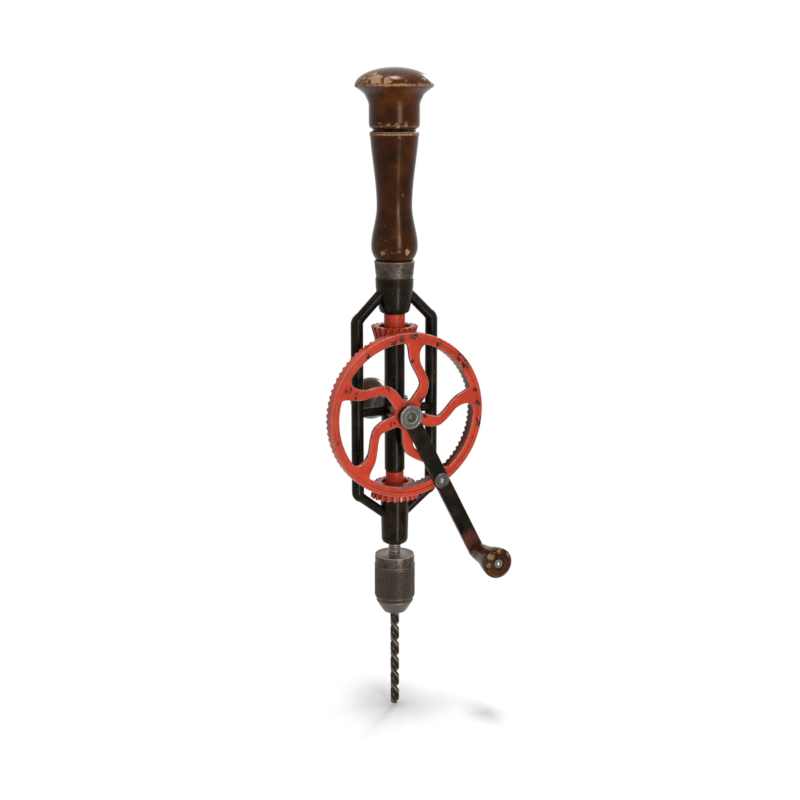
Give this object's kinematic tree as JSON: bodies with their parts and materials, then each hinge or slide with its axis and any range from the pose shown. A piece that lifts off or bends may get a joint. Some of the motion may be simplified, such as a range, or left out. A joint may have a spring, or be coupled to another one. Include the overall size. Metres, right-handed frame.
{
  "type": "hand drill",
  "caption": "Hand-held drill: a cranked bevel gear wheel drives a pinion on the spindle of a three-jaw chuck; turned wooden top handle with bit store, crank knob and side handle.",
  "frame": {"origin": "drill point, where the drill bit's tip touches the work", "axes": "+Z along the spindle towards the top handle; -Y towards the gear wheel and crank; +X to the right seen from the crank side"},
  "size_m": [0.1224, 0.1155, 0.4562],
  "materials": {
    "red_paint": "worn gloss paint with dark chips",
    "black_paint": "worn gloss black paint",
    "dark_wood": "dark lacquered hardwood with worn edges",
    "knob_wood": "worn hardwood",
    "dark_steel": "aged dark steel",
    "knurled_steel": "aged steel, finely knurled",
    "bright_steel": "turned steel",
    "bronze": "bearing bronze",
    "hard_steel": "hardened and polished",
    "drill_steel": "dark ground steel"
  },
  "bodies": {
    "frame": {"handle_grip": "dark_wood", "handle_ferrule": "dark_steel", "handle_tang": "bright_steel", "upper_boss": "black_paint", "lower_boss": "black_paint", "side_rod_left": "black_paint", "side_rod_right": "black_paint", "crossbar_left": "black_paint", "crossbar_right": "black_paint", "centre_hub": "black_paint", "centre_tube": "black_paint", "upper_bush": "bronze", "lower_bush": "bronze", "thrust_ball": "hard_steel", "thrust_cup": "hard_steel", "thrust_washer": "bronze", "idler_washer": "bronze", "wheel_axle": "bright_steel", "axle_cap": "bright_steel", "axle_screw": "bright_steel", "side_handle_stud": "bright_steel", "side_handle_ferrule": "dark_steel", "side_handle_grip": "dark_wood"},
    "wheel": {"drive_wheel": "red_paint", "wheel_bush": "bronze", "crank_arm": "black_paint", "crank_rivet": "bright_steel", "knob_rivet": "bright_steel", "knob_washer": "dark_steel"},
    "knob": {"crank_knob": "knob_wood"},
    "spindle": {"spindle_shaft": "dark_steel", "lower_pinion": "red_paint", "pinion_key": "bright_steel", "chuck_back_plate": "dark_steel", "chuck_body": "dark_steel", "drill_bit": "drill_steel"},
    "idler": {"upper_pinion": "red_paint"},
    "sleeve": {"chuck_sleeve": "knurled_steel", "chuck_nut_right": "bright_steel", "chuck_nut_left": "bright_steel"},
    "jaw_1": {"chuck_jaw_1": "bright_steel"},
    "jaw_2": {"chuck_jaw_2": "bright_steel"},
    "jaw_3": {"chuck_jaw_3": "bright_steel"},
    "cap": {"handle_cap": "dark_wood"}
  },
  "joints": [
    {"name": "wheel_spin", "type": "hinge", "parent": "frame", "child": "wheel", "pos_m": [0, 0, 0.2222], "axis": [0, 1, 0], "continuous": true},
    {"name": "knob_spin", "type": "hinge", "parent": "wheel", "child": "knob", "pos_m": [0.05366, 0, 0.11823], "axis": [0, 1, 0], "continuous": true},
    {"name": "spindle_spin", "type": "hinge", "parent": "frame", "child": "spindle", "pos_m": [0, 0, 0.2222], "axis": [0, 0, 1], "continuous": true},
    {"name": "idler_spin", "type": "hinge", "parent": "frame", "child": "idler", "pos_m": [0, 0, 0.2222], "axis": [0, 0, 1], "continuous": true},
    {"name": "sleeve_turn", "type": "hinge", "parent": "spindle", "child": "sleeve", "pos_m": [0, 0, 0.0831], "axis": [0, 0, 1], "range_deg": [0, 900]},
    {"name": "jaw_slide_1", "type": "slide", "parent": "spindle", "child": "jaw_1", "axis": [0, 0.2079, 0.9781], "range_m": [0, 0.0031]},
    {"name": "jaw_slide_2", "type": "slide", "parent": "spindle", "child": "jaw_2", "axis": [-0.1801, -0.104, 0.9781], "range_m": [0, 0.0031]},
    {"name": "jaw_slide_3", "type": "slide", "parent": "spindle", "child": "jaw_3", "axis": [0.1801, -0.104, 0.9781], "range_m": [0, 0.0031]},
    {"name": "cap_lift", "type": "slide", "parent": "frame", "child": "cap", "axis": [0, 0, 1], "range_m": [0, 0.045]}
  ],
  "couplings": [
    {"joint": "spindle_spin", "follows": "wheel_spin", "ratio": -3.8182},
    {"joint": "idler_spin", "follows": "wheel_spin", "ratio": 3.8182},
    {"joint": "jaw_slide_1", "follows": "sleeve_turn", "m_per_rad": 0.00019098},
    {"joint": "jaw_slide_2", "follows": "sleeve_turn", "m_per_rad": 0.00019098},
    {"joint": "jaw_slide_3", "follows": "sleeve_turn", "m_per_rad": 0.00019098}
  ]
}
